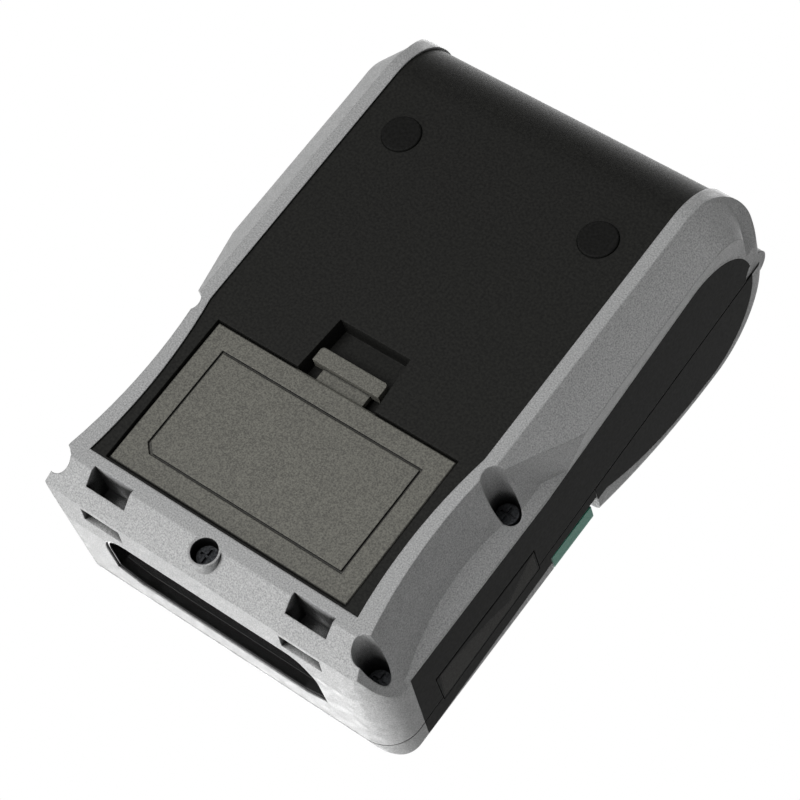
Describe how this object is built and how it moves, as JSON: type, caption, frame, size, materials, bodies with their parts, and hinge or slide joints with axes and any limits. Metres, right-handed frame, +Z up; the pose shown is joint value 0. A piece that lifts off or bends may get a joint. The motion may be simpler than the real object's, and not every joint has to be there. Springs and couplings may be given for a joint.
{
  "type": "portable label printer",
  "caption": "Portable label printer with a hinged roll cover, a drop-out battery pack, a geared platen and a thermal print head.",
  "frame": {"origin": "on the table under the middle of the body", "axes": "+X across the label to the right seen from the control end, -Y the control end, +Y the roll end, +Z up"},
  "size_m": [0.1072, 0.1548, 0.0605],
  "materials": {
    "silver_paint": "satin silver paint on plastic",
    "black_plastic": "fine grained black",
    "battery_plastic": "coarse grained dark grey",
    "green_plastic": "muted green, satin",
    "rubber": "matt rubber",
    "flap_rubber": "matt dark grey rubber",
    "clear": "smoked clear plastic",
    "circuit_board": "green solder mask",
    "gloss_black": "polished black",
    "black_steel": "black oxide on steel",
    "steel": "zinc plated steel",
    "aluminium": "bare aluminium",
    "gear_plastic": "natural acetal",
    "ceramic": "glazed ceramic",
    "grey_plastic": "moulded grey",
    "key_plastic": "satin grey",
    "gold": "gold flashed contacts",
    "cell_wrap": "blue shrink wrap"
  },
  "bodies": {
    "base": {"lower_casing": "silver_paint", "bottom_panel": "black_plastic", "hinge_lugs": "black_plastic", "left_side_panel": "black_plastic", "right_side_panel": "black_plastic", "upper_casing": "silver_paint", "left_deck_panel": "black_plastic", "right_deck_panel": "black_plastic", "control_panel": "black_plastic", "display_window": "clear", "display_module": "grey_plastic", "button_board": "circuit_board", "status_light_pipe": "clear", "front_insert": "gloss_black", "rubber_feet": "rubber", "casing_screws": "black_steel", "main_board": "circuit_board", "board_screws": "steel", "usb_socket": "steel", "power_socket": "grey_plastic", "battery_contacts": "gold", "print_chassis": "steel", "head_springs": "steel", "tear_bar": "steel", "stepper_motor": "steel", "idler_axle": "steel", "hinge_pin": "steel", "roll_tub": "grey_plastic", "gap_sensor": "black_plastic"},
    "roll_cover": {"cover_shell": "black_plastic", "cover_frame": "silver_paint", "cover_window": "clear", "left_cover_panel": "black_plastic", "right_cover_panel": "black_plastic", "platen_carrier": "black_plastic", "platen_bushes": "gear_plastic"},
    "platen": {"platen_roller": "rubber", "platen_shaft": "steel", "platen_gear": "gear_plastic"},
    "idler": {"idler_gear": "gear_plastic"},
    "motor_drive": {"motor_pinion": "gear_plastic", "motor_shaft": "steel"},
    "head_unit": {"print_head": "ceramic", "head_bracket": "aluminium"},
    "battery_pack": {"battery_case": "battery_plastic", "battery_cells": "cell_wrap", "battery_contact_pads": "gold"},
    "battery_catch": {"battery_latch": "battery_plastic"},
    "left_guide": {"left_roll_guide": "grey_plastic"},
    "right_guide": {"right_roll_guide": "grey_plastic"},
    "centring_pinion": {"guide_pinion": "gear_plastic"},
    "power_key": {"power_button": "key_plastic"},
    "feed_key": {"feed_button": "key_plastic"},
    "function_key": {"function_button": "key_plastic"},
    "cover_release": {"release_bar": "green_plastic"},
    "port_cover": {"port_flap": "black_plastic", "flap_grip": "flap_rubber"}
  },
  "joints": [
    {"name": "cover_hinge", "type": "hinge", "parent": "base", "child": "roll_cover", "pos_m": [0, 0.0731, 0.0365], "axis": [-1, 0, 0], "range_deg": [0, 80]},
    {"name": "platen_spin", "type": "hinge", "parent": "roll_cover", "child": "platen", "pos_m": [0, 0.009, 0.0422], "axis": [1, 0, 0], "continuous": true},
    {"name": "idler_spin", "type": "hinge", "parent": "base", "child": "idler", "pos_m": [0, 0.0078, 0.02869], "axis": [1, 0, 0], "continuous": true},
    {"name": "motor_spin", "type": "hinge", "parent": "base", "child": "motor_drive", "pos_m": [0, 0.00026, 0.0206], "axis": [1, 0, 0], "continuous": true},
    {"name": "head_tilt", "type": "hinge", "parent": "base", "child": "head_unit", "pos_m": [0, 0.0002, 0.0352], "axis": [1, 0, 0], "range_deg": [0, 1.5], "stiffness_Nm_per_rad": 2},
    {"name": "battery_slide", "type": "slide", "parent": "base", "child": "battery_pack", "axis": [0, 0, -1], "range_m": [0, 0.03]},
    {"name": "battery_latch_slide", "type": "slide", "parent": "battery_pack", "child": "battery_catch", "axis": [0, -1, 0], "range_m": [0, 0.0016], "stiffness_N_per_m": 600},
    {"name": "left_guide_slide", "type": "slide", "parent": "base", "child": "left_guide", "axis": [1, 0, 0], "range_m": [0, 0.02]},
    {"name": "right_guide_slide", "type": "slide", "parent": "base", "child": "right_guide", "axis": [-1, 0, 0], "range_m": [0, 0.02]},
    {"name": "guide_pinion_spin", "type": "hinge", "parent": "base", "child": "centring_pinion", "pos_m": [0, 0.0435, 0.005], "axis": [0, 0, 1], "range_deg": [0, 287]},
    {"name": "power_press", "type": "slide", "parent": "base", "child": "power_key", "axis": [0, 0, -1], "range_m": [0, 0.0006], "stiffness_N_per_m": 300},
    {"name": "feed_press", "type": "slide", "parent": "base", "child": "feed_key", "axis": [0, 0, -1], "range_m": [0, 0.0006], "stiffness_N_per_m": 300},
    {"name": "function_press", "type": "slide", "parent": "base", "child": "function_key", "axis": [0, 0, -1], "range_m": [0, 0.0006], "stiffness_N_per_m": 300},
    {"name": "release_press", "type": "hinge", "parent": "base", "child": "cover_release", "pos_m": [0, -0.012, 0.0486], "axis": [-1, 0, 0], "range_deg": [0, 3], "stiffness_Nm_per_rad": 1},
    {"name": "port_flap_hinge", "type": "hinge", "parent": "base", "child": "port_cover", "pos_m": [-0.0506, -0.03965, 0.0333], "axis": [0, -1, 0], "range_deg": [0, 90]}
  ],
  "couplings": [
    {"joint": "idler_spin", "follows": "platen_spin", "ratio": -0.8},
    {"joint": "motor_spin", "follows": "platen_spin", "ratio": 1.7143},
    {"joint": "right_guide_slide", "follows": "left_guide_slide", "ratio": 1},
    {"joint": "guide_pinion_spin", "follows": "left_guide_slide", "rad_per_m": 250}
  ]
}
